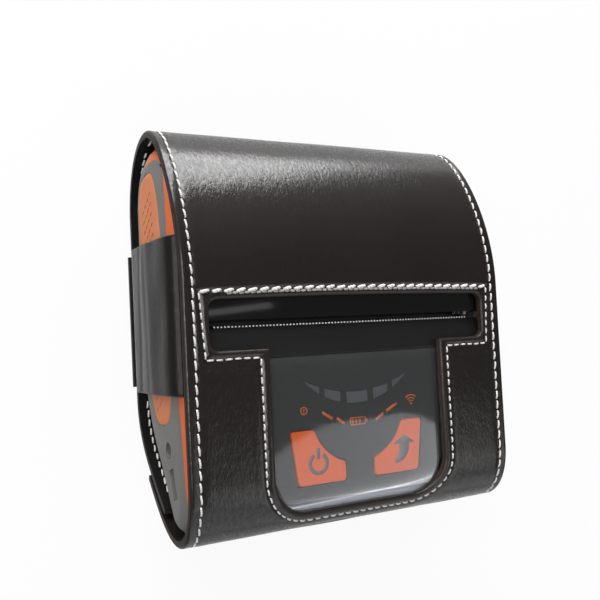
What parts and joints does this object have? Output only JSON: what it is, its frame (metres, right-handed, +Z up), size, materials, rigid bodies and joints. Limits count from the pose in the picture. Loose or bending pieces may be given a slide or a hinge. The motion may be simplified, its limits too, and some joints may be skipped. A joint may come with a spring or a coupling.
{
  "type": "portable thermal printer",
  "caption": "Portable thermal printer in a fitted leather case with a clear window; the paper lid, platen, gears, buttons, case cover and side straps move.",
  "frame": {"origin": "centre of the bounding box at its bottom: the surface the strap ends rest on, with the printer lying on its back", "axes": "+X across the printer towards the gear side, away from the sockets; +Y along the printer towards the end with the paper roll; +Z up, out of the face with the buttons"},
  "size_m": [0.1066, 0.1126, 0.0481],
  "materials": {
    "case_leather": "fine grain, soft sheen",
    "case_lining": "smooth",
    "window_sheet": "clear, slightly soft sheet",
    "hook_and_loop": "matt",
    "housing_grey": "fine satin texture",
    "trim_orange": "satin",
    "grip_orange": "ribbed, matt",
    "cover_black": "high gloss",
    "panel_grey": "satin",
    "lens_grey": "milky satin",
    "button_orange": "satin",
    "inner_black": "matt",
    "steel": "brushed",
    "motor_steel": "satin",
    "pinion_brass": "turned",
    "gear_nylon": "moulded",
    "platen_rubber": "ground matt",
    "board_green": "solder mask",
    "light_white": "translucent",
    "battery_wrap": "shrink wrap",
    "head_ceramic": "ground",
    "sensor_dark": "smooth",
    "paper_white": "smooth",
    "core_card": "matt"
  },
  "bodies": {
    "printer_body": {"case_back": "case_lining", "closure_pad": "hook_and_loop", "left_strap_base": "case_leather", "right_strap_base": "case_leather", "back_housing": "housing_grey", "front_housing": "housing_grey", "left_trim": "trim_orange", "right_trim": "trim_orange", "left_grip": "grip_orange", "right_grip": "grip_orange", "cover_hinge_pin": "steel", "tear_bar": "steel", "head_cover": "cover_black", "control_panel": "panel_grey", "light_windows": "lens_grey", "status_lights": "light_white", "main_board": "board_green", "button_switches": "inner_black", "usb_socket": "steel", "charge_socket": "inner_black", "battery_pack": "battery_wrap", "housing_screws": "steel", "mechanism_frame": "steel", "print_head": "head_ceramic", "head_springs": "steel", "idler_axle": "steel", "drive_motor": "motor_steel", "paper_bay": "inner_black", "paper_sensor": "sensor_dark"},
    "case_cover": {"case_cover": "case_leather", "clear_window": "window_sheet"},
    "case_tail": {"case_tail": "case_leather"},
    "left_strap": {"left_strap": "case_leather"},
    "right_strap": {"right_strap": "case_leather"},
    "paper_cover": {"paper_cover": "cover_black", "platen_bushes": "gear_nylon"},
    "platen": {"platen_roller": "platen_rubber", "platen_shaft": "steel", "platen_gear": "gear_nylon"},
    "idler": {"idler_gear": "gear_nylon"},
    "pinion": {"motor_pinion": "pinion_brass"},
    "roll": {"paper_roll": "paper_white", "paper_core": "core_card"},
    "power_button": {"power_button": "button_orange"},
    "feed_button": {"feed_button": "button_orange"}
  },
  "joints": [
    {"name": "case_cover_hinge", "type": "hinge", "parent": "printer_body", "child": "case_cover", "pos_m": [0, 0.0563, 0.0208], "axis": [-1, 0, 0], "range_deg": [0, 150], "deforming": ["case_tail"]},
    {"name": "case_tail_hinge", "type": "hinge", "parent": "case_cover", "child": "case_tail", "pos_m": [0, -0.0563, 0.0348], "axis": [-1, 0, 0], "range_deg": [0, 110]},
    {"name": "left_strap_hinge", "type": "hinge", "parent": "printer_body", "child": "left_strap", "pos_m": [-0.0497, 0.0035, 0.0054], "axis": [0, -1, 0], "range_deg": [0, 90]},
    {"name": "right_strap_hinge", "type": "hinge", "parent": "printer_body", "child": "right_strap", "pos_m": [0.0497, 0.0035, 0.0054], "axis": [0, 1, 0], "range_deg": [0, 90]},
    {"name": "paper_cover_hinge", "type": "hinge", "parent": "printer_body", "child": "paper_cover", "pos_m": [0, 0.044, 0.0308], "axis": [-1, 0, 0], "range_deg": [0, 90]},
    {"name": "platen_spin", "type": "hinge", "parent": "paper_cover", "child": "platen", "pos_m": [0, 0.0059, 0.0368], "axis": [1, 0, 0], "continuous": true},
    {"name": "idler_spin", "type": "hinge", "parent": "printer_body", "child": "idler", "pos_m": [0.0445, 0.00057, 0.02538], "axis": [1, 0, 0], "continuous": true},
    {"name": "pinion_spin", "type": "hinge", "parent": "printer_body", "child": "pinion", "pos_m": [0.0445, -0.00918, 0.02277], "axis": [1, 0, 0], "continuous": true},
    {"name": "paper_roll_spin", "type": "hinge", "parent": "printer_body", "child": "roll", "pos_m": [0, 0.0225, 0.0241], "axis": [1, 0, 0], "continuous": true},
    {"name": "power_press", "type": "slide", "parent": "printer_body", "child": "power_button", "axis": [0, 0, -1], "range_m": [0, 0.0006], "stiffness_N_per_m": 300},
    {"name": "feed_press", "type": "slide", "parent": "printer_body", "child": "feed_button", "axis": [0, 0, -1], "range_m": [0, 0.0006], "stiffness_N_per_m": 300}
  ],
  "couplings": [
    {"joint": "paper_cover_hinge", "follows": "case_cover_hinge", "ratio": 0.6},
    {"joint": "platen_spin", "follows": "paper_roll_spin", "ratio": 4},
    {"joint": "idler_spin", "follows": "paper_roll_spin", "ratio": -2.6667},
    {"joint": "pinion_spin", "follows": "paper_roll_spin", "ratio": 8}
  ]
}
